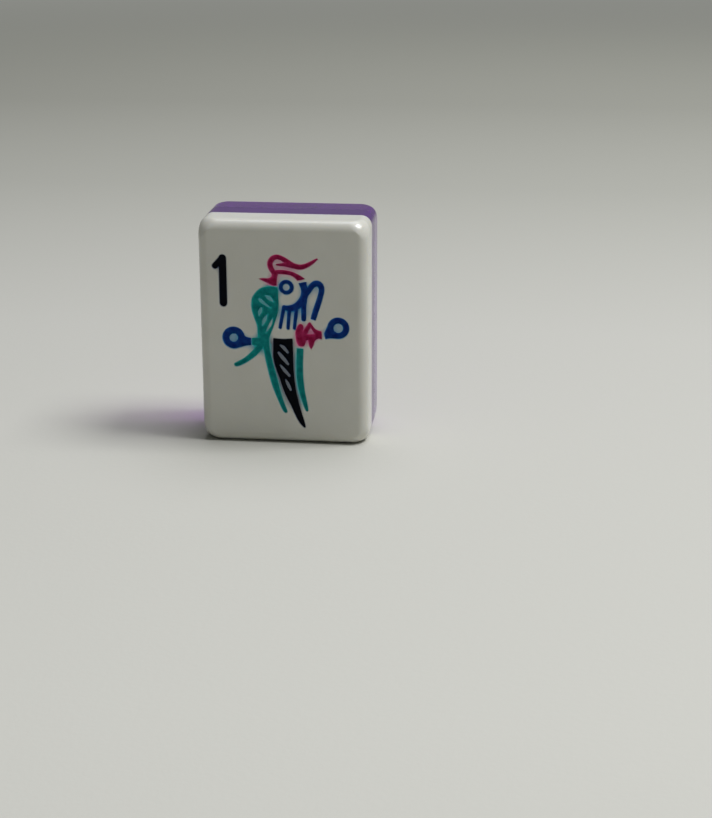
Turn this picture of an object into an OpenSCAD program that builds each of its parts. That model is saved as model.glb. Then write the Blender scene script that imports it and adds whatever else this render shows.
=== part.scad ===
// Mahjong tile: three bonded layers, with an engraved and painted face.
// Millimetres. The tile stands on its short edge, +Z up, with its face towards -Y.
// The origin is the middle of the surface that it stands on.

/* [Tile] */
// Width of the tile
tile_w = 22.2; // [20:0.1:32]
// Height of the tile, standing
tile_h = 30; // [29:0.5:42]
// Radius that tumbling gives to every edge
edge_r = 1.4; // [1:0.1:2]

/* [Layers] */
// Thickness of the white face layer
face_t = 4.8; // [3.5:0.1:7]
// Thickness of the solid coloured middle layer
core_t = 3.4; // [1:0.1:6]
// Thickness of the clear tinted back layer
back_t = 5; // [3.5:0.1:8]

/* [Engraving] */
// Depth of the engraved grooves below the face
groove_depth = 0.45; // [0.3:0.05:0.8]
// Thickness of the paint on the floor of a groove
paint_t = 0.15; // [0.05:0.05:0.25]

/* [Bird] */
// Height of the drawing grid that the bird is drawn on, centred on the face
grid_h = 30; // [24:0.5:30.5]

/* [Numeral] */
// Height of the numeral
numeral_h = 6.95; // [4:0.05:7.7]
// Width of the numeral's strokes
numeral_stroke = 0.96; // [0.5:0.02:1.4]
// Distance from the tile's side to the middle of the numeral's stem
numeral_side = 3.27; // [3.2:0.01:4.2]
// Distance from the tile's top to the top of the numeral
numeral_top = 4.5; // [3.5:0.1:6.5]

/* [Hidden] */
$fn = 48;

// How far a cutting shape runs past what it cuts
overrun = 1;

// The layers follow each other from the face at the front to the back
tile_t = face_t + core_t + back_t;
face_y = -tile_t / 2;
core_y = face_y + face_t;
back_y = core_y + core_t;
groove_floor_y = face_y + groove_depth;

// Tumbling wears a corner more than an edge. The larger rounding that cuts the
// corners belongs to a block so much larger that it just clears the edges
corner_share = 2.3;
corner_r = edge_r * corner_share;
clearance_share = 0.31;
corner_extra = (corner_r - edge_r) * clearance_share;

// The bird's points are shares of the grid: cells across from the middle of the
// face, cells up, and for a stroke its width in cells
grid_rows_share = 30;
cell = grid_h / grid_rows_share;
grid_middle_share = grid_rows_share / 2;

// Steps of a curve between two points, and of the round end of a stroke
curve_steps = 5;
end_steps = 8;
// Facets of a ring
ring_facets = 40;

// Crest: the long curl, its inner tongue, the brow, and the beak below them
curl_shares = [[-1.05, 22.7, 0.5], [-1.2, 23.3, 0.6], [-1.52, 23.9, 0.66], [-1.62, 24.5, 0.66],
    [-1.3, 25.08, 0.64], [-0.7, 25.32, 0.6], [0, 25.1, 0.6], [0.7, 24.68, 0.62], [1.45, 24.22, 0.64],
    [2.2, 24.04, 0.64], [2.95, 24.2, 0.56], [3.75, 24.64, 0.42], [4.5, 25.16, 0.2]];
tongue_shares = [[-0.72, 24.3, 0.24], [-0.2, 24.3, 0.34], [0.5, 24.3, 0.5], [1.4, 24.1, 0.5]];
brow_shares = [[-1.3, 23.3, 1], [-0.7, 23.6], [0.3, 23.6], [1.1, 23.46], [1.9, 23.12], [2.95, 22.52, 1],
    [1.94, 22.24, 1], [1.5, 22.7], [0.9, 22.98], [0, 23.08], [-0.62, 23.1, 1]];
beak_shares = [[-3.2, 22.42, 1], [-2.5, 22.46], [-1.9, 22.46], [-1.46, 22.68], [-1.32, 23.25, 1],
    [-0.62, 23.15, 1], [-0.76, 22.4], [-0.82, 21.6, 1], [-1.2, 21.54], [-1.65, 21.68], [-2.3, 22]];

// Eye: its middle and its outer and inner radius
eye_shares = [0.46, 21.35];
eye_outer_share = 0.97;
eye_inner_share = 0.48;

// Collar, the breast feathers below it, and the loop beside it
collar_shares = [[2.05, 21.9, 1], [2.38, 21.2], [2.36, 20.4], [2, 19.7], [1.4, 19.14], [0.7, 18.9],
    [0.1, 18.92, 1], [-0.05, 18.4, 1], [0.9, 18.1], [1.8, 18.3], [2.4, 18.7], [3.02, 18.6, 1],
    [3.1, 19.4], [3.22, 20.05], [3.6, 20.9, 1], [3.28, 21.3, 1], [3.12, 21.65], [3.1, 22.14, 1]];
feathers_shares = [
    [[0.12, 18.7, 0.5], [-0.06, 17.8, 0.44], [-0.26, 16.8, 0.42], [-0.42, 15.92, 0.4]],
    [[0.82, 18.5, 0.5], [0.76, 17.6, 0.44], [0.68, 16.7, 0.42], [0.62, 15.84, 0.4]],
    [[1.72, 18.7, 0.5], [1.68, 17.8, 0.48], [1.56, 16.8, 0.42], [1.44, 15.86, 0.38]],
    [[2.68, 19.2, 0.74], [2.7, 18.4, 0.64], [2.7, 17.6, 0.62], [2.68, 17.12, 0.6]]];
loop_shares = [[3.14, 20.4, 0.4], [3.42, 21, 0.66], [3.86, 21.66, 0.72], [4.4, 21.94, 0.78],
    [4.9, 21.7, 0.76], [5.06, 21.1, 0.7], [4.88, 20.2, 0.68], [4.58, 19.2, 0.7], [4.24, 18.2, 0.72],
    [3.9, 17.08, 0.68]];

// Rings on their short stems, left and right of the bird
left_ring_shares = [-6.58, 14.38];
left_outer_share = 1.48;
left_inner_share = 0.58;
left_stem_shares = [[-5.45, 15.2, 1], [-5.02, 14.56], [-4.3, 14.4, 1], [-4.3, 13.44, 1], [-5, 13.34],
    [-6, 13.02, 1]];
right_ring_shares = [7.2, 16.04];
right_outer_share = 1.42;
right_inner_share = 0.64;
right_stem_shares = [[6.1, 16.9, 1], [5.72, 16.1], [5.34, 15.3, 1], [5.48, 14.5, 1], [6.1, 14.66],
    [7.2, 14.62, 1]];

// Wing with the narrow ridges left standing in it, its foot, its link to the
// left ring, and the left tail that grows from it
wing_shares = [[-0.85, 21.32], [-0.64, 20.9], [-0.62, 20], [-0.58, 19.1], [-0.72, 18], [-1, 17],
    [-1.34, 16], [-1.72, 15], [-2.1, 13.9, 1], [-3.3, 13.9, 1], [-3.4, 15], [-3.42, 16], [-3.72, 17],
    [-4.04, 18], [-4.13, 19], [-3.95, 19.96], [-3.1, 20.98], [-2, 21.4]];
ridges_shares = [
    [[-2.3, 20.16, 0.24], [-1.8, 19.84, 0.54], [-1.3, 19.42, 0.26]],
    [[-3.14, 19.68, 0.3], [-2.86, 19.44, 0.46], [-2.36, 19.04, 0.36], [-1.66, 18.56, 0.18]],
    [[-2.84, 18.52, 0.3], [-3.02, 18.04, 0.56], [-3.14, 17.5, 0.26]],
    [[-2.16, 17.56, 0.24], [-2.46, 16.9, 0.54], [-2.76, 16.2, 0.26]],
    [[-1.36, 17.2, 0.16], [-1.74, 16.26, 0.42], [-2.32, 15.2, 0.18]]];
foot_shares = [[-2.8, 14, 1], [-3.4, 12.95, 0.82], [-4.05, 12.2, 0.74], [-5, 11.42, 0.62],
    [-5.9, 10.9, 0.58], [-6.36, 10.72, 0.5]];
link_shares = [[-4.17, 14.4, 1], [-3.2, 14.5, 1], [-3, 13.2, 1], [-3.6, 13.2], [-4.17, 13.46, 1]];
left_tail_shares = [[-2.44, 14.3, 1], [-2.26, 13, 0.8], [-2.08, 12, 0.8], [-1.88, 11, 0.82],
    [-1.64, 10, 0.86], [-1.4, 9, 0.86], [-1.14, 8, 0.82], [-0.84, 7, 0.7], [-0.5, 6, 0.6],
    [-0.12, 5, 0.54], [0.14, 4.46, 0.46]];

// Right tail, square at its top
right_tail_shares = [[2.16, 13.16, 0.86], [2.11, 12, 0.84], [2.08, 11, 0.83], [2.07, 10, 0.84],
    [2.11, 9, 0.84], [2.22, 8, 0.8], [2.4, 7, 0.7], [2.64, 6, 0.6], [2.88, 5.1, 0.44], [2.98, 4.7, 0.34]];

// Flower, and the small island left standing in it
flower_shares = [[1.96, 16.3], [2.36, 16.46], [2.62, 16.16], [2.52, 15.44, 1], [3.04, 16.22], [3.46, 16.76],
    [3.76, 16.4], [4.1, 15.92], [4.5, 15.68], [5.02, 15.56, 1], [5.04, 14.46, 1], [4.56, 14.56],
    [4.12, 14.26], [3.94, 13.7], [3.6, 13.04, 1], [3.36, 13.6], [3.24, 14.3, 1], [2.96, 14.3, 1],
    [2.84, 13.8], [2.6, 13.46], [2, 13.5], [1.74, 14], [1.6, 14.8], [1.62, 15.5]];
petal_gap_shares = [[3.58, 16.1, 1], [3.08, 15.1, 1], [4.1, 15.14, 1]];

// Middle tail feather, and the slanting slots left standing in it
tail_feather_shares = [[-1.36, 14.46, 1], [0, 14.36], [1.2, 14.48, 1], [1.22, 13], [1.23, 12],
    [1.24, 11], [1.28, 10], [1.35, 9], [1.46, 8], [1.62, 7], [1.84, 6], [2.08, 5], [2.36, 4],
    [2.64, 3], [2.8, 2.3, 1], [2.58, 2.22, 1], [1.94, 3], [1.42, 4], [1, 5], [0.5, 6], [0.04, 7],
    [-0.3, 8], [-0.6, 9], [-0.95, 10], [-1.24, 11], [-1.4, 12], [-1.38, 13]];
slots_shares = [
    [[-0.4, 13.5, 0.3], [0.06, 13.14, 0.46], [0.52, 12.56, 0.34]],
    [[-0.66, 12.5, 0.36], [-0.12, 11.8, 0.52], [0.54, 10.98, 0.36]],
    [[-0.46, 10.8, 0.26], [0.08, 10.1, 0.46], [0.72, 9.36, 0.34]],
    [[0.2, 8.84, 0.22], [0.5, 8.2, 0.44], [0.84, 7.44, 0.34]]];

// Numeral: the tip of its flag, in shares of its height from the top of the stem
flag_tip_shares = [-0.142, -0.152];
flag_width_share = 0.82;

// Point of a smooth curve that runs from b to c, with a before and d after them
function curve_point(a, b, c, d, t) =
    b + (t * (c - a) + t * t * (2 * a - 5 * b + 4 * c - d) + t * t * t * (3 * b - a - 3 * c + d)) / 2;

// Smooth open path through all the points, widths included
function open_path(p) = let (last = len(p) - 1)
    [for (i = [0 : last - 1], k = [0 : curve_steps - 1])
        curve_point(i == 0 ? 2 * p[0] - p[1] : p[i - 1], p[i], p[i + 1],
            i + 1 == last ? 2 * p[last] - p[last - 1] : p[i + 2], k / curve_steps),
     p[last]];

// Smooth closed outline through the points, where a third value marks a corner
function flat_point(p) = [p[0], p[1]];
function is_corner(p) = len(p) > 2;
function closed_span(a, b, c, d) =
    let (p = flat_point(b), q = flat_point(c),
        before = is_corner(b) ? 2 * p - q : flat_point(a),
        after = is_corner(c) ? 2 * q - p : flat_point(d),
        steps = is_corner(b) && is_corner(c) ? 1 : curve_steps)
    [for (k = [0 : steps - 1]) curve_point(before, p, q, after, k / steps)];
function closed_outline(p) = let (n = len(p))
    [for (i = [0 : n - 1]) each closed_span(p[(i + n - 1) % n], p[i], p[(i + 1) % n], p[(i + 2) % n])];

// Outline of a stroke along a path of places and widths, with round or square ends
function heading(q, i) = let (d = q[min(i + 1, len(q) - 1)] - q[max(i - 1, 0)]) atan2(d[1], d[0]);
function side_point(p, angle) = [p[0] + p[2] / 2 * cos(angle), p[1] + p[2] / 2 * sin(angle)];
function end_turn(p, from, is_round) = let (steps = is_round ? end_steps : 1)
    [for (k = [0 : steps]) side_point(p, from - 180 * k / steps)];
function stroke_outline(q, round_start, round_end) = let (last = len(q) - 1)
    concat([for (i = [1 : last - 1]) side_point(q[i], heading(q, i) + 90)],
        end_turn(q[last], heading(q, last) + 90, round_end),
        [for (i = [last - 1 : -1 : 1]) side_point(q[i], heading(q, i) - 90)],
        end_turn(q[0], heading(q, 0) - 90, round_start));

// From grid cells to millimetres about the middle of the face
function on_face(p) = [for (i = [0 : len(p) - 1]) (i == 1 ? p[i] - grid_middle_share : p[i]) * cell];

module stroke(shares, round_start = true, round_end = true) {
    places = [for (s = shares) on_face(s)];
    polygon(stroke_outline(open_path(places), round_start, round_end));
}

module area(shares) {
    translate([0, -grid_middle_share * cell]) scale(cell) polygon(closed_outline(shares));
}

module ring(middle_shares, outer_share, inner_share) {
    translate(on_face(middle_shares)) difference() {
        circle(outer_share * cell, $fn = ring_facets);
        circle(inner_share * cell, $fn = ring_facets);
    }
}

module disc(middle_shares, radius_share) {
    translate(on_face(middle_shares)) circle(radius_share * cell, $fn = ring_facets);
}

// One outline around strokes and areas that overlap
module merged() {
    offset(delta = 0) children();
}

// Flat shapes of the artwork, about the middle of the face
module numeral_shape() {
    stem_x = numeral_side - tile_w / 2;
    stem_top = tile_h / 2 - numeral_top - numeral_stroke / 2;
    stem_bottom = tile_h / 2 - numeral_top - numeral_h + numeral_stroke / 2;
    stem = [[stem_x, stem_top, numeral_stroke], [stem_x, stem_bottom, numeral_stroke]];
    flag_w = numeral_stroke * flag_width_share;
    flag = [[stem_x, stem_top, flag_w],
        [stem_x + flag_tip_shares[0] * numeral_h, stem_top + flag_tip_shares[1] * numeral_h, flag_w]];
    merged() {
        polygon(stroke_outline(open_path(stem), true, true));
        polygon(stroke_outline(open_path(flag), true, true));
    }
}

module crest_shape() {
    merged() {
        stroke(curl_shares);
        stroke(tongue_shares);
        area(brow_shares);
        area(beak_shares);
    }
}

module eye_shape() {
    ring(eye_shares, eye_outer_share, eye_inner_share);
}

module collar_shape() {
    merged() {
        area(collar_shares);
        for (feather_shares = feathers_shares) stroke(feather_shares);
        stroke(loop_shares, round_end = false);
    }
}

module left_ring_shape() {
    merged() difference() {
        union() {
            disc(left_ring_shares, left_outer_share);
            area(left_stem_shares);
        }
        disc(left_ring_shares, left_inner_share);
    }
}

module right_ring_shape() {
    merged() difference() {
        union() {
            disc(right_ring_shares, right_outer_share);
            area(right_stem_shares);
        }
        disc(right_ring_shares, right_inner_share);
    }
}

module wing_shape() {
    merged() {
        difference() {
            area(wing_shares);
            for (ridge_shares = ridges_shares) stroke(ridge_shares);
        }
        stroke(foot_shares);
        area(link_shares);
        stroke(left_tail_shares);
    }
}

module right_tail_shape() {
    merged() stroke(right_tail_shares, round_start = false);
}

module flower_shape() {
    merged() difference() {
        area(flower_shares);
        area(petal_gap_shares);
    }
}

module tail_feather_shape() {
    merged() difference() {
        area(tail_feather_shares);
        for (slot_shares = slots_shares) stroke(slot_shares);
    }
}

// Raises a flat shape of the artwork from the floor of the grooves towards the face
module raise(height) {
    translate([0, groove_floor_y, tile_h / 2]) rotate([90, 0, 0]) linear_extrude(height) children();
}

// A block with flat faces, a cylinder along each edge and a ball at each corner. Each of
// its faces lies this much outside the tile's
module rounded_block(radius, extra) {
    inner_w = tile_w + 2 * extra - 2 * radius;
    inner_t = tile_t + 2 * extra - 2 * radius;
    inner_h = tile_h + 2 * extra - 2 * radius;
    translate([0, 0, tile_h / 2]) {
        cube([inner_w + 2 * radius, inner_t, inner_h], center = true);
        cube([inner_w, inner_t + 2 * radius, inner_h], center = true);
        cube([inner_w, inner_t, inner_h + 2 * radius], center = true);
        for (x = [-inner_w / 2, inner_w / 2], y = [-inner_t / 2, inner_t / 2])
            translate([x, y, 0]) cylinder(h = inner_h, r = radius, center = true);
        for (x = [-inner_w / 2, inner_w / 2], z = [-inner_h / 2, inner_h / 2])
            translate([x, 0, z]) rotate([90, 0, 0]) cylinder(h = inner_t, r = radius, center = true);
        for (y = [-inner_t / 2, inner_t / 2], z = [-inner_h / 2, inner_h / 2])
            translate([0, y, z]) rotate([0, 90, 0]) cylinder(h = inner_w, r = radius, center = true);
        for (x = [-inner_w / 2, inner_w / 2], y = [-inner_t / 2, inner_t / 2],
            z = [-inner_h / 2, inner_h / 2])
            translate([x, y, z]) sphere(r = radius);
    }
}

// The part of the tile between two planes from front to back
module layer(from_y, thickness) {
    intersection() {
        rounded_block(edge_r, 0);
        rounded_block(corner_r, corner_extra);
        translate([-tile_w / 2 - overrun, from_y, -overrun])
            cube([tile_w + 2 * overrun, thickness, tile_h + 2 * overrun]);
    }
}

module face_block() {
    color("whitesmoke") difference() {
        layer(face_y, face_t);
        raise(groove_depth + overrun) {
            numeral_shape();
            crest_shape();
            eye_shape();
            collar_shape();
            left_ring_shape();
            right_ring_shape();
            wing_shape();
            right_tail_shape();
            flower_shape();
            tail_feather_shape();
        }
    }
}

module core_layer() {
    color("indigo") layer(core_y, core_t);
}

module back_layer() {
    color("mediumpurple") layer(back_y, back_t);
}

module index_one_paint() {
    color("black") raise(paint_t) numeral_shape();
}

module crest_paint() {
    color("crimson") raise(paint_t) crest_shape();
}

module eye_ring_paint() {
    color("navy") raise(paint_t) eye_shape();
}

module collar_paint() {
    color("navy") raise(paint_t) collar_shape();
}

module left_ring_paint() {
    color("navy") raise(paint_t) left_ring_shape();
}

module right_ring_paint() {
    color("navy") raise(paint_t) right_ring_shape();
}

module wing_paint() {
    color("teal") raise(paint_t) wing_shape();
}

module right_tail_paint() {
    color("teal") raise(paint_t) right_tail_shape();
}

module flower_paint() {
    color("crimson") raise(paint_t) flower_shape();
}

module tail_feather_paint() {
    color("black") raise(paint_t) tail_feather_shape();
}

face_block();
core_layer();
back_layer();
index_one_paint();
crest_paint();
eye_ring_paint();
collar_paint();
left_ring_paint();
right_ring_paint();
wing_paint();
right_tail_paint();
flower_paint();
tail_feather_paint();
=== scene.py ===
import math

import bmesh
import bpy
import numpy as np
from mathutils import Matrix, Vector, noise
from mathutils.geometry import delaunay_2d_cdt


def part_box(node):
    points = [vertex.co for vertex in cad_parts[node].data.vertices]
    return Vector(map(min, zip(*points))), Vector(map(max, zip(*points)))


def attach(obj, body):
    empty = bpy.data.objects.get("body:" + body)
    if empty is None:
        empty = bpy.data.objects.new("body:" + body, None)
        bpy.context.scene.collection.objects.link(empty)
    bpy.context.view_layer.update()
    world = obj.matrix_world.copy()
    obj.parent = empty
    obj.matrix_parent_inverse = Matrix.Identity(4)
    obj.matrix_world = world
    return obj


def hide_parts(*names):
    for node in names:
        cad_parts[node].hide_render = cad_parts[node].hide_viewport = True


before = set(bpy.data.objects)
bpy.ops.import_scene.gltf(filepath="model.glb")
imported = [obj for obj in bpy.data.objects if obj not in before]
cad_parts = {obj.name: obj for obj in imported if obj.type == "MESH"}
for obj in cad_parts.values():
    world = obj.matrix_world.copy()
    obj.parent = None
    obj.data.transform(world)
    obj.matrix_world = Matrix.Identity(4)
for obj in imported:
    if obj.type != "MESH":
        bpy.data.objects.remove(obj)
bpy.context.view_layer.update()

# A millimetre in metres, and how close two places are when they count as one
MM = 0.001
SAME = 1e-7

# Sizes and places in metres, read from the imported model. The tile's face looks along -y
face_low, face_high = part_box("face_block")
back_low, back_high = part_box("back_layer")
paint_low, paint_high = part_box("wing_paint")
face_y = face_low.y
paint_top_y = paint_low.y
groove_floor_y = paint_high.y
groove_depth = groove_floor_y - face_y
core_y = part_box("core_layer")[0].y
back_y = back_low.y
rear_y = back_high.y
middle_z = (face_low.z + face_high.z) / 2
flat_w = max(v.co.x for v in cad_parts["face_block"].data.vertices if v.co.y < face_y + SAME)
edge_r = face_high.x - flat_w
flat_h = (face_high.z - face_low.z) / 2 - edge_r

# Tumbling wears a corner more than an edge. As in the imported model, the corners are cut by the larger
# rounding of a block that is so much larger that it just clears the edges
CORNER_SHARE = 2.3
CLEARANCE_SHARE = 0.31
corner_r = edge_r * CORNER_SHARE
corner_extra = (corner_r - edge_r) * CLEARANCE_SHARE
# The least rounding of a ring's corner, as at the flat face
flat_corner_r = 0.3 * MM

# The engraved artwork: what each painted piece is called, what it stands for, and its paint
PAINTED = {
    "numeral_enamel": ("index_one_paint", "black_paint"),
    "crest_enamel": ("crest_paint", "red_paint"),
    "eye_ring_enamel": ("eye_ring_paint", "blue_paint"),
    "collar_enamel": ("collar_paint", "blue_paint"),
    "left_ring_enamel": ("left_ring_paint", "blue_paint"),
    "right_ring_enamel": ("right_ring_paint", "blue_paint"),
    "wing_enamel": ("wing_paint", "green_paint"),
    "right_tail_enamel": ("right_tail_paint", "green_paint"),
    "flower_enamel": ("flower_paint", "red_paint"),
    "tail_feather_enamel": ("tail_feather_paint", "black_paint"),
}

# Each paint where it is thickest, where it is thin, and where it was wiped off the resin. The paler second
# tone also makes the paint's edges lighter: partly thin paint, partly a painted highlight where the
# groove's wall catches light
PAINT_COLOURS = {
    "black_paint": ((0.0003, 0.0008, 0.003), (0.0015, 0.0035, 0.011), (0.09, 0.12, 0.18)),
    "red_paint": ((0.3, 0.002, 0.052), (0.62, 0.05, 0.2), (0.6, 0.12, 0.3)),
    "blue_paint": ((0.002, 0.02, 0.18), (0.01, 0.1, 0.4), (0.03, 0.26, 0.48)),
    "green_paint": ((0.002, 0.2, 0.21), (0.014, 0.44, 0.4), (0.015, 0.37, 0.43)),
}

# Distance fields that the grooves and paints are drawn from: the step of their grid, the largest
# distance that they hold, and how often they are blurred
GRID_STEP = 0.04 * MM
FIELD_REACH = 0.7 * MM
SOFTEN_PASSES = 2

# Loops of one distance: how far a chord may lie from the curve, and how long it may be
THIN_TOLERANCE = 0.003 * MM
LONGEST_CHORD = 0.5 * MM
# How close two corners of triangles are when they count as one, in millimetres
SAME_CORNER = 1e-6

# Section of a groove in millimetres: distance outside its outline, and depth below the face. The first
# three lie on the face: they end the stain beside the groove, and start its lip from a level loop
GROOVE_SECTION = [(0.3, 0), (0.15, 0), (0.1, 0), (0.056, 0.01), (0.02, 0.042), (0, 0.1), (-0.03, 0.34),
                  (-0.08, groove_depth / MM)]
# Section of the paint in millimetres, which creeps up the wall: distance outside the outline, and rise
# above its middle
PAINT_SECTION = [(0.02, 0.22), (-0.008, 0.18), (-0.03, 0.11), (-0.06, 0.055), (-0.1, 0.022), (-0.17, 0)]
# How thin the paint is, with a painted highlight along its edges where the groove's wall catches light:
# millimetres outside the outline, and what is added to the noise of its colour
THIN_AND_LIT_EDGE_SECTION = [(0.02, 0.42), (-0.06, 0.27), (-0.14, 0.14), (-0.24, 0.08)]

# Evenly spread points in a paint: their gap, and how far inside its last loop they keep
PAINT_DOT_GAP = 0.16 * MM
PAINT_DOT_MARGIN = PAINT_DOT_GAP / 3
# Waves of the paint's surface: their height and length. The paint goes a little into the groove's floor
PAINT_WAVE = 0.014 * MM
PAINT_WAVE_LENGTH = 0.55 * MM
PAINT_SINK = 0.02 * MM

# Paint left near the grooves when the face was wiped: the blur's passes and stride that find how
# much of the surroundings is groove, the shares of groove where it begins and ends, and the most of it.
# The first is for the lips of the grooves, the second for ridges and islands that grooves surround
STAIN_BLURS = [(24, 1, 0.15, 0.5, 1), (28, 4, 0.35, 0.64, 0.88)]
# Evenly spread points that carry the stain: how much of the least stained share of groove they need
# around them, and how far from a groove they keep
STAIN_DOT_SHARE = 0.9
STAIN_DOT_LEVEL = 0.06 * MM

# Rings round the tile: facets of a corner, and shares along a side, which crowd near its ends
ARC_STEPS = 16
SIDE_SHARES = [0.006, 0.05, 0.2, 0.35, 0.5, 0.65, 0.8, 0.95, 0.994]
# Rings on a side between the end of the edge's rounding and the end of the corner's wear
WORN_STEPS = 5
# Gap between an edge of a flat face and the ring beside it that keeps its shading flat
LEVEL_GAP = 0.12 * MM
# How far the bonded end of the clear layer lies inside the core's outline, and how deep in the core
BOND_INSET = 0.05 * MM
BOND_DEPTH = 0.02 * MM
# Edges sharper than this, in degrees, are shaded as edges
SHARP_ANGLE = 40

# Names of what the meshes tell their materials
STAIN_LAYER = "stain"
THIN_AND_LIT_EDGE_LAYER = "wear"


# Distance fields of the artwork
def outline_edges(node):
    """The edges round a paint's front, as rows of x, z, x, z."""
    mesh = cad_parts[node].data
    uses = {}
    for face in mesh.polygons:
        corners = [mesh.vertices[i].co for i in face.vertices]
        if max(c.y for c in corners) < paint_top_y + SAME:
            keys = [(round(c.x / SAME), round(c.z / SAME)) for c in corners]
            for pair in zip(keys, keys[1:] + keys[:1]):
                edge = tuple(sorted(pair))
                uses[edge] = uses.get(edge, 0) + 1
    return np.array([a + b for (a, b), count in uses.items() if count == 1], float) * SAME


def grid_line(half_size, middle):
    """Places of the grid along one axis, which goes past the flat face by the reach of the fields."""
    count = math.ceil((half_size + FIELD_REACH) / GRID_STEP)
    return middle + GRID_STEP * np.arange(-count, count + 1)


grid_x = grid_line(flat_w, 0)
grid_z = grid_line(flat_h, middle_z)


def near(line, low, high):
    """The part of a grid line from low to high."""
    return slice(*np.searchsorted(line, (low, high)))


def distance_field(edges):
    """Signed distance to the outline at each grid point: positive outside, at most FIELD_REACH."""
    distance = np.full((len(grid_x), len(grid_z)), FIELD_REACH)
    inside = np.zeros(distance.shape, bool)
    for x0, z0, x1, z1 in edges:
        across = near(grid_x, min(x0, x1) - FIELD_REACH, max(x0, x1) + FIELD_REACH)
        up = near(grid_z, min(z0, z1) - FIELD_REACH, max(z0, z1) + FIELD_REACH)
        px = grid_x[across][:, None] - x0
        pz = grid_z[up][None, :] - z0
        dx, dz = x1 - x0, z1 - z0
        share = np.clip((px * dx + pz * dz) / (dx * dx + dz * dz), 0, 1)
        gap = np.hypot(px - share * dx, pz - share * dz)
        distance[across, up] = np.minimum(distance[across, up], gap)
        for i in range(*near(grid_x, min(x0, x1), max(x0, x1)).indices(len(grid_x))):
            crossing = z0 + dz * (grid_x[i] - x0) / dx
            inside[i, np.searchsorted(grid_z, crossing):] ^= True
    return np.where(inside, -distance, distance)


def softened(field, passes):
    """The field blurred. A little blur rounds the outline's sharp corners as a cutter does."""
    for _ in range(passes):
        for axis in (0, 1):
            before = np.roll(field, 1, axis)
            after = np.roll(field, -1, axis)
            field = (before + 2 * field + after) / 4
    return field


def value_at(field, x, z, stride=1):
    """The field between its grid points, of which it may hold only each stride-th one."""
    u = (x - grid_x[0]) / (GRID_STEP * stride)
    v = (z - grid_z[0]) / (GRID_STEP * stride)
    i, j = int(u), int(v)
    u, v = u - i, v - j
    low = field[i, j] * (1 - u) + field[i + 1, j] * u
    high = field[i, j + 1] * (1 - u) + field[i + 1, j + 1] * u
    return low * (1 - v) + high * v


# Loops of one distance
def crossing_point(field, level, edge):
    """Where an edge of the grid has this level. An edge is its axis and its first grid point."""
    axis, i, j = edge
    a = field[i, j]
    b = field[i + 1, j] if axis == 0 else field[i, j + 1]
    share = (level - a) / (b - a)
    if axis == 0:
        return (grid_x[i] + share * GRID_STEP, grid_z[j])
    return (grid_x[i], grid_z[j] + share * GRID_STEP)


def cell_links(field, above, level, i, j):
    """The pairs of a grid cell's edges that the loop joins."""
    corners = [above[i, j], above[i + 1, j], above[i + 1, j + 1], above[i, j + 1]]
    edges = [(0, i, j), (1, i + 1, j), (0, i, j + 1), (1, i, j)]
    crossed = [k for k in range(4) if corners[k] != corners[(k + 1) % 4]]
    if len(crossed) == 2:
        return [(edges[crossed[0]], edges[crossed[1]])]
    centre_above = field[i:i + 2, j:j + 2].mean() > level
    if centre_above == corners[0]:
        return [(edges[0], edges[1]), (edges[2], edges[3])]
    return [(edges[3], edges[0]), (edges[1], edges[2])]


def loops_at(field, level):
    """Closed loops, as lists of x and z, along which the field has this level."""
    above = field > level
    count = above[:-1, :-1].astype(int) + above[1:, :-1] + above[:-1, 1:] + above[1:, 1:]
    links = {}
    for i, j in np.argwhere((count > 0) & (count < 4)).tolist():
        for a, b in cell_links(field, above, level, i, j):
            links.setdefault(a, []).append(b)
            links.setdefault(b, []).append(a)
    loops = []
    while links:
        edge = next(iter(links))
        loop = []
        while edge in links:
            loop.append(crossing_point(field, level, edge))
            following = [e for e in links.pop(edge) if e in links]
            edge = following[0] if following else None
        loops.append(thinned(loop))
    return [loop for loop in loops if len(loop) > 3]


def thinned(loop):
    """The loop without the points that lie on a straight stretch of it."""
    points = np.array(loop + loop[:1])
    kept = [0]
    for k in range(2, len(points)):
        start = points[kept[-1]]
        chord = points[k] - start
        length = math.hypot(*chord)
        between = points[kept[-1] + 1:k] - start
        bulge = abs(between[:, 0] * chord[1] - between[:, 1] * chord[0]).max() / max(length, SAME)
        if bulge > THIN_TOLERANCE or length > LONGEST_CHORD:
            kept.append(k - 1)
    return [tuple(points[k]) for k in kept]


# Triangles between loops
class Patch:
    """Points and edges to be triangulated, where each point has a level of the distance field."""

    def __init__(self):
        self.points = []
        self.levels = []
        self.edges = []

    def add_loop(self, loop, level=None):
        """Adds a closed loop and returns its points' numbers. With no level, the field tells it."""
        first = len(self.points)
        count = len(loop)
        self.points += loop
        self.levels += [level] * count
        self.edges += [(first + k, first + (k + 1) % count) for k in range(count)]
        return range(first, first + count)

    def add_dots(self, dots):
        """Adds loose points. The field tells their level."""
        self.points += dots
        self.levels += [None] * len(dots)

    def triangles(self, field):
        """Places as x, z and level, corner triples, and the new number of each given point."""
        flat = [Vector((x / MM, z / MM)) for x, z in self.points]
        found, _, faces, origins, _, _ = delaunay_2d_cdt(flat, self.edges, [], 0, SAME_CORNER)
        places = []
        number = {}
        for k, (spot, given) in enumerate(zip(found, origins)):
            x, z = spot.x * MM, spot.y * MM
            levels = [self.levels[g] for g in given if self.levels[g] is not None]
            places.append((x, z, levels[0] if levels else value_at(field, x, z)))
            number.update((g, k) for g in given)
        return places, faces, number


def section_value(section, level):
    """What a section says at this level, a distance in metres."""
    distances, values = zip(*reversed(section))
    return float(np.interp(level / MM, distances, values))


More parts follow.
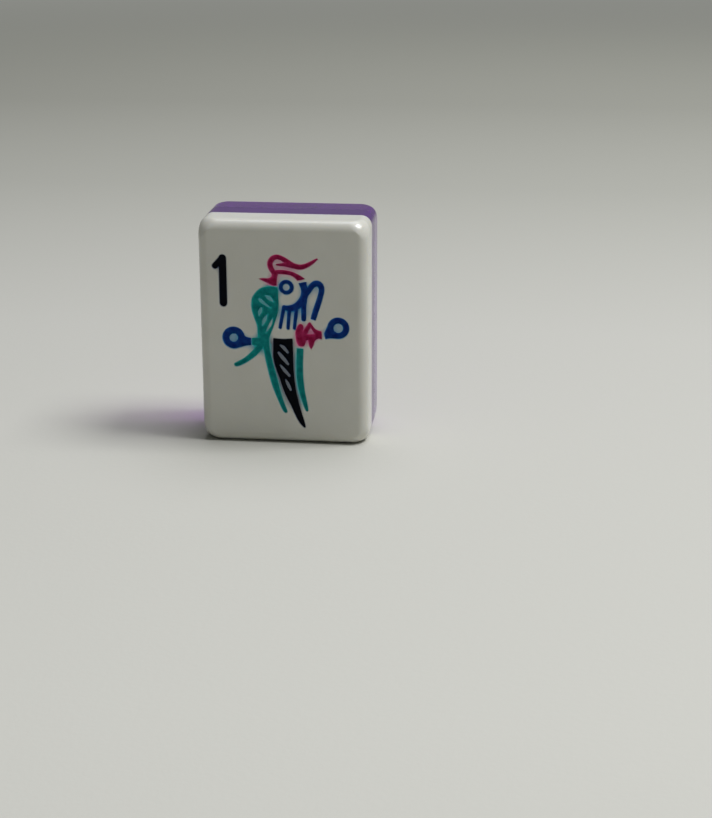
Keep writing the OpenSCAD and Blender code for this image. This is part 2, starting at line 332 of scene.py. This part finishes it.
def within(spots, loops):
    """For each spot, True if it lies inside an odd number of the loops."""
    spots = np.array(spots)
    odd = np.zeros(len(spots), bool)
    for loop in loops:
        for (x0, z0), (x1, z1) in zip(loop, loop[1:] + loop[:1]):
            beside = (x0 > spots[:, 0]) != (x1 > spots[:, 0])
            if beside.any():
                reach = z0 + (spots[beside, 0] - x0) * (z1 - z0) / (x1 - x0)
                odd[beside] ^= spots[beside, 1] < reach
    return odd


# Pieces
def finished_piece(name, built, node, material):
    """Turns a bmesh into a smooth piece that stands for a node and rides on the tile."""
    bmesh.ops.remove_doubles(built, verts=built.verts, dist=SAME)
    bmesh.ops.recalc_face_normals(built, faces=built.faces)
    mesh = bpy.data.meshes.new(name)
    built.to_mesh(mesh)
    built.free()
    mesh.shade_smooth()
    mesh.set_sharp_from_angle(angle=math.radians(SHARP_ANGLE))
    mesh.materials.append(material)
    piece = bpy.data.objects.new(name, mesh)
    bpy.context.scene.collection.objects.link(piece)
    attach(piece, "root")
    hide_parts(node)
    return piece


def worn_radius(reach, y):
    """Radius of a ring's corners, which tumbling has worn more near the front and the back."""
    depth = min(y - face_y, rear_y - y)
    centre_depth = max(corner_r - corner_extra - depth, 0)
    worn_inset = corner_r - math.sqrt(corner_r ** 2 - centre_depth ** 2)
    diagonal = math.sqrt(0.5)
    cut = (1 - diagonal) * corner_r + diagonal * worn_inset - corner_extra - (edge_r - reach)
    return max(cut / (1 - diagonal), reach, flat_corner_r)


def ring(reach, y):
    """Points round the tile at this depth, this far outside the edge of its flat face."""
    arc_r = worn_radius(reach, y)
    corner_w = flat_w + reach - arc_r
    corner_h = flat_h + reach - arc_r
    corners = []
    for turn, (side_x, side_z) in enumerate([(1, 1), (-1, 1), (-1, -1), (1, -1)]):
        angles = [math.pi / 2 * (turn + k / ARC_STEPS) for k in range(ARC_STEPS + 1)]
        corners.append([(side_x * corner_w + arc_r * math.cos(a),
                         middle_z + side_z * corner_h + arc_r * math.sin(a)) for a in angles])
    points = []
    for turn in range(4):
        start, end = corners[turn][-1], corners[(turn + 1) % 4][0]
        points += corners[turn]
        points += [tuple(a + share * (b - a) for a, b in zip(start, end)) for share in SIDE_SHARES]
    return points


def fillet():
    """Reaches and depths from the edge of a flat face round onto the side, and on to where wear ends."""
    angles = [math.pi / 2 * k / ARC_STEPS for k in range(ARC_STEPS + 1)]
    rounded = [(edge_r * math.sin(a), edge_r * (1 - math.cos(a))) for a in angles]
    worn_depth = corner_r - corner_extra
    shares = [k / WORN_STEPS for k in range(1, WORN_STEPS + 1)]
    return rounded + [(edge_r, edge_r + share * (worn_depth - edge_r)) for share in shares]


def loft(built, first_ring, sections):
    """Bands of faces from the first ring of vertices through each (reach, y) section."""
    previous = first_ring
    for reach, y in sections:
        current = [built.verts.new((x, y, z)) for x, z in ring(reach, y)]
        if previous:
            for k in range(len(current)):
                after = (k + 1) % len(current)
                built.faces.new((previous[k], previous[after], current[after], current[k]))
        previous = current
    return previous


def groove_shares(grooves):
    """For each blur of the stain, how much of the surroundings of each place is groove."""
    grooved = np.where(grooves < 0, 1.0, 0.0)
    return [softened(grooved[::stride, ::stride], passes) for passes, stride, *_ in STAIN_BLURS]


def stain_dots(grooves, shares):
    """Evenly spread points on the face between the grooves, which carry the stain there."""
    _, stride, low, _, _ = STAIN_BLURS[-1]
    dotted = (shares[-1] > low * STAIN_DOT_SHARE) & (grooves[::stride, ::stride] > STAIN_DOT_LEVEL)
    return [(grid_x[i * stride], grid_z[j * stride]) for i, j in np.argwhere(dotted)]


def stain_face(mesh, fields, grooves, shares):
    """Colours the groove lips and what they surround with what was left of the nearest paint."""
    owner = np.argmin(np.stack(list(fields.values())), axis=0)
    residues = [PAINT_COLOURS[slot_name][2] for _, slot_name in PAINTED.values()]
    stain = mesh.color_attributes.new(STAIN_LAYER, "FLOAT_COLOR", "POINT")
    for k, vert in enumerate(mesh.vertices):
        amount, colour = 0, (0, 0, 0)
        x, z = vert.co.x, vert.co.z
        if abs(x) < flat_w and abs(z - middle_z) < flat_h:
            i = round((x - grid_x[0]) / GRID_STEP)
            j = round((z - grid_z[0]) / GRID_STEP)
            colour = residues[owner[i, j]]
            for share, (_, stride, low, high, most) in zip(shares, STAIN_BLURS):
                rise = (value_at(share, x, z, stride) - low) / (high - low)
                amount = max(amount, min(rise, 1) * most)
            if value_at(grooves, x, z) <= 0:
                amount = 1
        stain.data[k].color = (*colour, amount)


def make_face_block(fields, material):
    """The engraved layer: a face with grooves in it, round whose rim the sides are lofted."""
    grooves = np.minimum.reduce(list(fields.values()))
    shares = groove_shares(grooves)
    patch = Patch()
    rim = patch.add_loop(ring(0, face_y), FIELD_REACH)
    patch.add_loop(ring(-LEVEL_GAP, face_y))
    patch.add_dots(stain_dots(grooves, shares))
    for distance, _ in GROOVE_SECTION:
        for loop in loops_at(grooves, distance * MM):
            patch.add_loop(loop, distance * MM)
    places, faces, number = patch.triangles(grooves)
    built = bmesh.new()
    for x, z, level in places:
        built.verts.new((x, face_y + section_value(GROOVE_SECTION, level) * MM, z))
    built.verts.ensure_lookup_table()
    for corners in faces:
        built.faces.new([built.verts[k] for k in corners])
    rim_verts = [built.verts[number[k]] for k in rim]
    round_off = [(reach, face_y + depth) for reach, depth in fillet()[1:]]
    side = [(edge_r, core_y - LEVEL_GAP), (edge_r, core_y)]
    built.faces.new(loft(built, rim_verts, round_off + side))
    piece = finished_piece("engraved_face_block", built, "face_block", material)
    stain_face(piece.data, fields, grooves, shares)


def make_core_layer(material, bonded_lit_material):
    """The solid layer. Its two ends meet resin and not air, so they have a material without gloss, in a
    paler copy of the violet that paints in the light reaching them through the clear layer.
    """
    built = bmesh.new()
    first = loft(built, None, [(edge_r, core_y)])
    side = [(edge_r, core_y + LEVEL_GAP), (edge_r, back_y - LEVEL_GAP), (edge_r, back_y)]
    for end in (built.faces.new(first), built.faces.new(loft(built, first, side))):
        end.material_index = 1
    piece = finished_piece("solid_core_layer", built, "core_layer", material)
    piece.data.materials.append(bonded_lit_material)


def make_back_layer(material):
    """The clear layer. Its bonded end lies just inside the core, so light meets the core itself."""
    built = bmesh.new()
    first = loft(built, None, [(edge_r - BOND_INSET, back_y - BOND_DEPTH)])
    built.faces.new(first)
    side = [(edge_r, back_y), (edge_r, back_y + LEVEL_GAP)]
    round_off = [(reach, rear_y - depth) for reach, depth in reversed(fillet())]
    built.faces.new(loft(built, first, side + round_off + [(-LEVEL_GAP, rear_y)]))
    finished_piece("clear_back_layer", built, "back_layer", material)


def paint_dots(field):
    """Evenly spread points in the middle of a paint, which carry its unevenness."""
    stride = round(PAINT_DOT_GAP / GRID_STEP)
    level = PAINT_SECTION[-1][0] * MM - PAINT_DOT_MARGIN
    spots = np.argwhere(field[::stride, ::stride] < level) * stride
    return [(grid_x[i], grid_z[j]) for i, j in spots]


def mark_thin_and_lit_edges(mesh, field):
    """Marks the paint as paler beside its outline, where it creeps up the wall of the groove: partly thin
    paint, partly a painted highlight where the wall catches light.
    """
    wear = mesh.attributes.new(THIN_AND_LIT_EDGE_LAYER, "FLOAT", "POINT")
    for k, vert in enumerate(mesh.vertices):
        wear.data[k].value = section_value(THIN_AND_LIT_EDGE_SECTION, value_at(field, vert.co.x, vert.co.z))


def make_paint(name, field, node, material):
    """The paint in one groove: a wavy top, which climbs at its outline, over a flat bottom."""
    patch = Patch()
    levels = [distance * MM for distance, _ in PAINT_SECTION]
    loops = [loops_at(field, level) for level in levels]
    for level, found in zip(levels, loops):
        for loop in found:
            patch.add_loop(loop, level)
    patch.add_dots(paint_dots(field))
    places, faces, _ = patch.triangles(field)
    middles = [tuple(sum(places[k][axis] for k in corners) / 3 for axis in (0, 1)) for corners in faces]
    faces = [corners for corners, kept in zip(faces, within(middles, loops[0])) if kept]
    built = bmesh.new()
    top, bottom = {}, {}
    for k in sorted({k for corners in faces for k in corners}):
        x, z, level = places[k]
        wave = PAINT_WAVE * noise.noise(Vector((x, 0, z)) / PAINT_WAVE_LENGTH)
        y = paint_top_y - section_value(PAINT_SECTION, level) * MM + wave
        top[k] = built.verts.new((x, y, z))
        bottom[k] = built.verts.new((x, groove_floor_y + PAINT_SINK, z))
    for corners in faces:
        built.faces.new([top[k] for k in corners])
        built.faces.new([bottom[k] for k in reversed(corners)])
    for edge in [e for e in built.edges if e.is_boundary and e.verts[0].co.y < groove_floor_y]:
        a, b = edge.verts
        under = {vert: bottom[k] for k, vert in top.items() if vert in (a, b)}
        built.faces.new((a, b, under[b], under[a]))
    piece = finished_piece(name, built, node, material)
    mark_thin_and_lit_edges(piece.data, field)


# Materials: each noise is the size of its features and its detail, each roughness its least and most
# The values that nearly all of a noise lies between, and how strongly resin and paint bend light
NOISE_RANGE = (0.3, 0.7)
RESIN_IOR = 1.5

# Tumbled resin: patches of gloss, a faint swell and fine rubbing marks, and the depths of the last two
GLOSS_NOISE = (1.8 * MM, 5)
SWELL_NOISE = (7 * MM, 2)
SWELL_DEPTH = 0.012 * MM
RUB_NOISE = (0.09 * MM, 3)
RUB_DEPTH = 0.00025 * MM

# White resin, into which light goes a little way
WHITE_TONES = [(0.66, 0.655, 0.59), (0.69, 0.685, 0.62)]
WHITE_NOISE = (5 * MM, 3)
WHITE_ROUGHNESS = (0.16, 0.24)
WHITE_SCATTER = 0.3
WHITE_SCATTER_REACH = 0.9 * MM
WHITE_SCATTER_SHARES = (1, 0.85, 0.6)

# Solid violet resin: its tones and gloss where it meets air, and where it is bonded. The bonded tones are
# a paler copy of the violet, painted light standing in for the lamp light that reaches that end through
# the clear layer
VIOLET_TONES = [(0.057, 0.004, 0.143), (0.07, 0.005, 0.17)]
VIOLET_GLOSS = 0.33
BONDED_LIT_TONES = [(0.30, 0.02, 0.53), (0.35, 0.025, 0.6)]
BONDED_GLOSS = 0
VIOLET_NOISE = (4 * MM, 3)
VIOLET_ROUGHNESS = (0.14, 0.22)

# Clear resin: its tint and how strong it is for each metre, and the share of a lamp's light that passes
CLEAR_TINT = (0.55, 0.13, 0.77)
CLEAR_DENSITY = 60
CLEAR_LAMP_SHARE = (0.6, 0.57, 0.6)
CLEAR_ROUGHNESS = (0.05, 0.09)
CLEAR_IOR = 1.49

# Paint: how much its noise thins it, its grain, and its soft gloss
PAINT_NOISE = (0.7 * MM, 4)
PAINT_UNEVENNESS = 0.6
PAINT_GRAIN_NOISE = (0.16 * MM, 3)
PAINT_GRAIN_DEPTH = 0.003 * MM
PAINT_GLOSS_NOISE = (0.35 * MM, 3)
PAINT_ROUGHNESS = (0.34, 0.55)
PAINT_GLOSS = 0.05


def node_tree(name):
    """A new material, its nodes, and the shader among them."""
    material = bpy.data.materials.new(name)
    material.use_nodes = True
    tree = material.node_tree
    return material, tree, tree.nodes["Principled BSDF"]


def noise_texture(tree, size, detail):
    """Noise whose features are about this many metres across."""
    place = tree.nodes.new("ShaderNodeTexCoord")
    texture = tree.nodes.new("ShaderNodeTexNoise")
    texture.inputs["Scale"].default_value = 1 / size
    texture.inputs["Detail"].default_value = detail
    tree.links.new(place.outputs["Object"], texture.inputs["Vector"])
    return texture.outputs["Fac"]


def mapped(tree, value, from_range, to_range=(0, 1), interpolation="LINEAR"):
    """A number that crosses the second range while the value crosses the first."""
    spread = tree.nodes.new("ShaderNodeMapRange")
    spread.interpolation_type = interpolation
    spread.inputs["From Min"].default_value, spread.inputs["From Max"].default_value = from_range
    spread.inputs["To Min"].default_value, spread.inputs["To Max"].default_value = to_range
    tree.links.new(value, spread.inputs["Value"])
    return spread.outputs["Result"]


def combined(tree, operation, *terms):
    """What a sum makes of its terms, each a number or the output of a node."""
    node = tree.nodes.new("ShaderNodeMath")
    node.operation = operation
    for socket, term in zip(node.inputs, terms):
        if isinstance(term, bpy.types.NodeSocket):
            tree.links.new(term, socket)
        else:
            socket.default_value = term
    return node.outputs["Value"]


def colour_ramp(tree, factor, stops):
    """A colour that follows the factor from stop to stop, each a position and a colour."""
    ramp = tree.nodes.new("ShaderNodeValToRGB")
    elements = ramp.color_ramp.elements
    while len(elements) < len(stops):
        elements.new(1)
    for element, (position, colour) in zip(elements, stops):
        element.position = position
        element.color = (*colour, 1)
    tree.links.new(factor, ramp.inputs["Fac"])
    return ramp.outputs["Color"]


def mottled(tree, factor, tones):
    """A colour that goes from one tone to the other as the noise does."""
    return colour_ramp(tree, factor, list(zip(NOISE_RANGE, tones)))


def mixed_shader(tree, factor, one, other):
    """The first shader where the factor is 0, and the other where it is 1."""
    choice = tree.nodes.new("ShaderNodeMixShader")
    tree.links.new(factor, choice.inputs["Fac"])
    tree.links.new(one, choice.inputs[1])
    tree.links.new(other, choice.inputs[2])
    return choice.outputs["Shader"]


def bumped(tree, shader, factor, depth, before=None):
    """Gives the shader a relief of this depth, on top of the one before."""
    bump = tree.nodes.new("ShaderNodeBump")
    bump.inputs["Strength"].default_value = 1
    bump.inputs["Distance"].default_value = depth
    tree.links.new(factor, bump.inputs["Height"])
    if before:
        tree.links.new(before, bump.inputs["Normal"])
    tree.links.new(bump.outputs["Normal"], shader.inputs["Normal"])
    return bump.outputs["Normal"]


def polish(tree, shader, roughness):
    """Tumbled resin: a faint swell under fine rubbing marks, and an uneven gloss."""
    gloss = noise_texture(tree, *GLOSS_NOISE)
    tree.links.new(mapped(tree, gloss, NOISE_RANGE, roughness), shader.inputs["Roughness"])
    swell = bumped(tree, shader, noise_texture(tree, *SWELL_NOISE), SWELL_DEPTH)
    bumped(tree, shader, noise_texture(tree, *RUB_NOISE), RUB_DEPTH, swell)


def white_resin():
    material, tree, shader = node_tree("white_resin")
    colour = mottled(tree, noise_texture(tree, *WHITE_NOISE), WHITE_TONES)
    stain = tree.nodes.new("ShaderNodeVertexColor")
    stain.layer_name = STAIN_LAYER
    blend = tree.nodes.new("ShaderNodeMix")
    blend.data_type = "RGBA"
    tree.links.new(stain.outputs["Alpha"], blend.inputs["Factor"])
    tree.links.new(colour, blend.inputs["A"])
    tree.links.new(stain.outputs["Color"], blend.inputs["B"])
    tree.links.new(blend.outputs["Result"], shader.inputs["Base Color"])
    polish(tree, shader, WHITE_ROUGHNESS)
    shader.inputs["IOR"].default_value = RESIN_IOR
    shader.inputs["Subsurface Weight"].default_value = WHITE_SCATTER
    shader.inputs["Subsurface Radius"].default_value = WHITE_SCATTER_SHARES
    shader.inputs["Subsurface Scale"].default_value = WHITE_SCATTER_REACH
    return material


def violet_resin(name, tones, gloss):
    material, tree, shader = node_tree(name)
    colour = mottled(tree, noise_texture(tree, *VIOLET_NOISE), tones)
    tree.links.new(colour, shader.inputs["Base Color"])
    polish(tree, shader, VIOLET_ROUGHNESS)
    shader.inputs["IOR"].default_value = RESIN_IOR
    shader.inputs["Specular IOR Level"].default_value = gloss
    return material


def clear_violet_resin():
    """Tinted glass-clear resin, through which lamps still light the core."""
    material, tree, shader = node_tree("clear_violet_resin")
    output = tree.nodes["Material Output"]
    polish(tree, shader, CLEAR_ROUGHNESS)
    shader.inputs["Base Color"].default_value = (1, 1, 1, 1)
    shader.inputs["IOR"].default_value = CLEAR_IOR
    shader.inputs["Transmission Weight"].default_value = 1
    tint = tree.nodes.new("ShaderNodeVolumeAbsorption")
    tint.inputs["Color"].default_value = (*CLEAR_TINT, 1)
    tint.inputs["Density"].default_value = CLEAR_DENSITY
    tree.links.new(tint.outputs["Volume"], output.inputs["Volume"])
    path = tree.nodes.new("ShaderNodeLightPath")
    through = tree.nodes.new("ShaderNodeBsdfTransparent")
    through.inputs["Color"].default_value = (*CLEAR_LAMP_SHARE, 1)
    surface = mixed_shader(tree, path.outputs["Is Shadow Ray"], shader.outputs["BSDF"],
                           through.outputs["BSDF"])
    tree.links.new(surface, output.inputs["Surface"])
    return material


def enamel(name, tones):
    """Paint wiped into the engraving: thin in places, and paler at its edges, partly as thin paint and
    partly as a painted highlight, with a soft, uneven gloss.
    """
    material, tree, shader = node_tree(name)
    wear = tree.nodes.new("ShaderNodeAttribute")
    wear.attribute_name = THIN_AND_LIT_EDGE_LAYER
    unevenness = noise_texture(tree, *PAINT_NOISE)
    # Paler towards the paint's edges, partly as thin paint and partly as a painted highlight where the
    # groove's wall catches light
    thinness_and_painted_highlight = combined(tree, "MULTIPLY_ADD", unevenness, PAINT_UNEVENNESS, wear.outputs["Fac"])
    tree.links.new(mottled(tree, thinness_and_painted_highlight, tones), shader.inputs["Base Color"])
    gloss = noise_texture(tree, *PAINT_GLOSS_NOISE)
    tree.links.new(mapped(tree, gloss, NOISE_RANGE, PAINT_ROUGHNESS), shader.inputs["Roughness"])
    bumped(tree, shader, noise_texture(tree, *PAINT_GRAIN_NOISE), PAINT_GRAIN_DEPTH)
    shader.inputs["IOR"].default_value = RESIN_IOR
    shader.inputs["Specular IOR Level"].default_value = PAINT_GLOSS
    return material


# Stage: a pale table that darkens with distance, as in the photograph, and ends in the room's tone
FLOOR_HALF = 3
# The table's colours at some depths behind the tile. They darken away from the tile as a painted shade for
# the light falling off with distance
FLOOR_SHADED_COLOURS = [(-0.08, (0.64, 0.635, 0.57)), (0.05, (0.575, 0.57, 0.515)), (0.17, (0.443, 0.443, 0.39)),
                 (0.3, (0.374, 0.374, 0.323)), (0.47, (0.396, 0.398, 0.338)), (0.9, (0.406, 0.408, 0.353))]
FLOOR_ROUGHNESS = 0.85
FLOOR_GLOSS = 0.2
FLOOR_NOISE = (0.8 * MM, 4)
FLOOR_NOISE_DEPTH = 0.02 * MM
# The distances from the tile between which the table passes into the room, and the tone of the room
FLOOR_FADE = (0.3, 0.75)
ROOM_SHOWN = (0.26, 0.265, 0.245)


def seen_ray(tree):
    """1 for what the camera sees, also in a reflection or through the clear layer, and 0 for light."""
    path = tree.nodes.new("ShaderNodeLightPath")
    seen = path.outputs["Is Camera Ray"]
    for name in ("Is Glossy Ray", "Is Transmission Ray"):
        seen = combined(tree, "MAXIMUM", seen, path.outputs[name])
    return seen


def floor_material():
    material, tree, shader = node_tree("pale_table")
    place = tree.nodes.new("ShaderNodeTexCoord")
    split = tree.nodes.new("ShaderNodeSeparateXYZ")
    tree.links.new(place.outputs["Object"], split.inputs["Vector"])
    nearest, farthest = FLOOR_SHADED_COLOURS[0][0], FLOOR_SHADED_COLOURS[-1][0]
    depth = mapped(tree, split.outputs["Y"], (nearest, farthest))
    # The colour darkens away from the tile as a painted shade
    stops = [((y - nearest) / (farthest - nearest), colour) for y, colour in FLOOR_SHADED_COLOURS]
    tree.links.new(colour_ramp(tree, depth, stops), shader.inputs["Base Color"])
    shader.inputs["Roughness"].default_value = FLOOR_ROUGHNESS
    shader.inputs["Specular IOR Level"].default_value = FLOOR_GLOSS
    bumped(tree, shader, noise_texture(tree, *FLOOR_NOISE), FLOOR_NOISE_DEPTH)
    distance = tree.nodes.new("ShaderNodeVectorMath")
    distance.operation = "LENGTH"
    tree.links.new(place.outputs["Object"], distance.inputs[0])
    fade = mapped(tree, distance.outputs["Value"], FLOOR_FADE, interpolation="SMOOTHSTEP")
    shown = combined(tree, "MULTIPLY", fade, seen_ray(tree))
    room = tree.nodes.new("ShaderNodeEmission")
    room.inputs["Color"].default_value = (*ROOM_SHOWN, 1)
    surface = mixed_shader(tree, shown, shader.outputs["BSDF"], room.outputs["Emission"])
    tree.links.new(surface, tree.nodes["Material Output"].inputs["Surface"])
    return material


def make_floor():
    mesh = bpy.data.meshes.new("floor")
    corners = [(-FLOOR_HALF, -FLOOR_HALF, 0), (FLOOR_HALF, -FLOOR_HALF, 0),
               (FLOOR_HALF, FLOOR_HALF, 0), (-FLOOR_HALF, FLOOR_HALF, 0)]
    mesh.from_pydata(corners, [], [(0, 1, 2, 3)])
    mesh.materials.append(floor_material())
    floor = bpy.data.objects.new("floor", mesh)
    bpy.context.scene.collection.objects.link(floor)


# Light: a broad softbox above and behind, one on the right, and a dim room. Each softbox has its place,
# its width and height, its power and its colour
SOFTBOXES = {
    "top_softbox": ((0.15, 0.16, 0.7), (0.7, 0.5), 3.05, (0.93, 0.935, 1)),
    "key_softbox": ((0.42, 0, 0.68), (0.28, 0.28), 3.85, (0.97, 0.98, 1)),
}
ROOM_COLOUR = (0.93, 0.97, 1)
ROOM_STRENGTH = 0.07


def make_room():
    """The dim light of the room, and the tone that the camera sees in its place."""
    world = bpy.data.worlds.new("room")
    world.use_nodes = True
    bpy.context.scene.world = world
    tree = world.node_tree
    lit = tree.nodes["Background"]
    lit.inputs["Color"].default_value = (*ROOM_COLOUR, 1)
    lit.inputs["Strength"].default_value = ROOM_STRENGTH
    shown = tree.nodes.new("ShaderNodeBackground")
    shown.inputs["Color"].default_value = (*ROOM_SHOWN, 1)
    surface = mixed_shader(tree, seen_ray(tree), lit.outputs["Background"], shown.outputs["Background"])
    tree.links.new(surface, tree.nodes["World Output"].inputs["Surface"])


def make_softbox(name, place, size, power, colour):
    """A rectangular lamp that looks at the middle of the tile."""
    lamp = bpy.data.lights.new(name, "AREA")
    lamp.shape = "RECTANGLE"
    lamp.size, lamp.size_y = size
    lamp.energy = power
    lamp.color = colour
    holder = bpy.data.objects.new(name, lamp)
    holder.location = place
    holder.rotation_mode = "QUATERNION"
    holder.rotation_quaternion = (Vector((0, 0, middle_z)) - Vector(place)).to_track_quat("-Z", "Y")
    bpy.context.scene.collection.objects.link(holder)


# Camera: the place and turn that put the tile's edges where the photograph has them
CAMERA_PLACE = (0.03319, -0.21991, 0.07661)
CAMERA_AHEAD = (-0.10471, 0.94293, -0.31609)
CAMERA_ROLL = -0.0021
CAMERA_LENS = 75.68
CAMERA_SENSOR = 36
CAMERA_NEAREST = 0.01
CAMERA_FARTHEST = 20


def make_camera():
    lens = bpy.data.cameras.new("camera")
    lens.lens = CAMERA_LENS
    lens.sensor_width = CAMERA_SENSOR
    lens.clip_start = CAMERA_NEAREST
    lens.clip_end = CAMERA_FARTHEST
    camera = bpy.data.objects.new("camera", lens)
    turn = Vector(CAMERA_AHEAD).to_track_quat("-Z", "Y").to_matrix().to_4x4()
    camera.matrix_world = Matrix.Translation(CAMERA_PLACE) @ turn @ Matrix.Rotation(CAMERA_ROLL, 4, "Z")
    bpy.context.scene.collection.objects.link(camera)
    bpy.context.scene.camera = camera


make_camera()
# The second tone of each paint is paler: thin paint, and along the edges a painted highlight
paint_materials = {name: enamel(name, (deep, worn)) for name, (deep, worn, _) in PAINT_COLOURS.items()}
fields = {name: softened(distance_field(outline_edges(node)), SOFTEN_PASSES)
          for name, (node, _) in PAINTED.items()}
make_face_block(fields, white_resin())
# The core's bonded ends get a paler violet that paints in the light reaching them through the clear layer
make_core_layer(violet_resin("violet_resin", VIOLET_TONES, VIOLET_GLOSS),
                violet_resin("bonded_violet_resin_painted_light", BONDED_LIT_TONES, BONDED_GLOSS))
make_back_layer(clear_violet_resin())
for name, (node, slot_name) in PAINTED.items():
    make_paint(name, fields[name], node, paint_materials[slot_name])
make_floor()
make_room()
for name, softbox in SOFTBOXES.items():
    make_softbox(name, *softbox)
bpy.context.scene.view_settings.view_transform = "Standard"
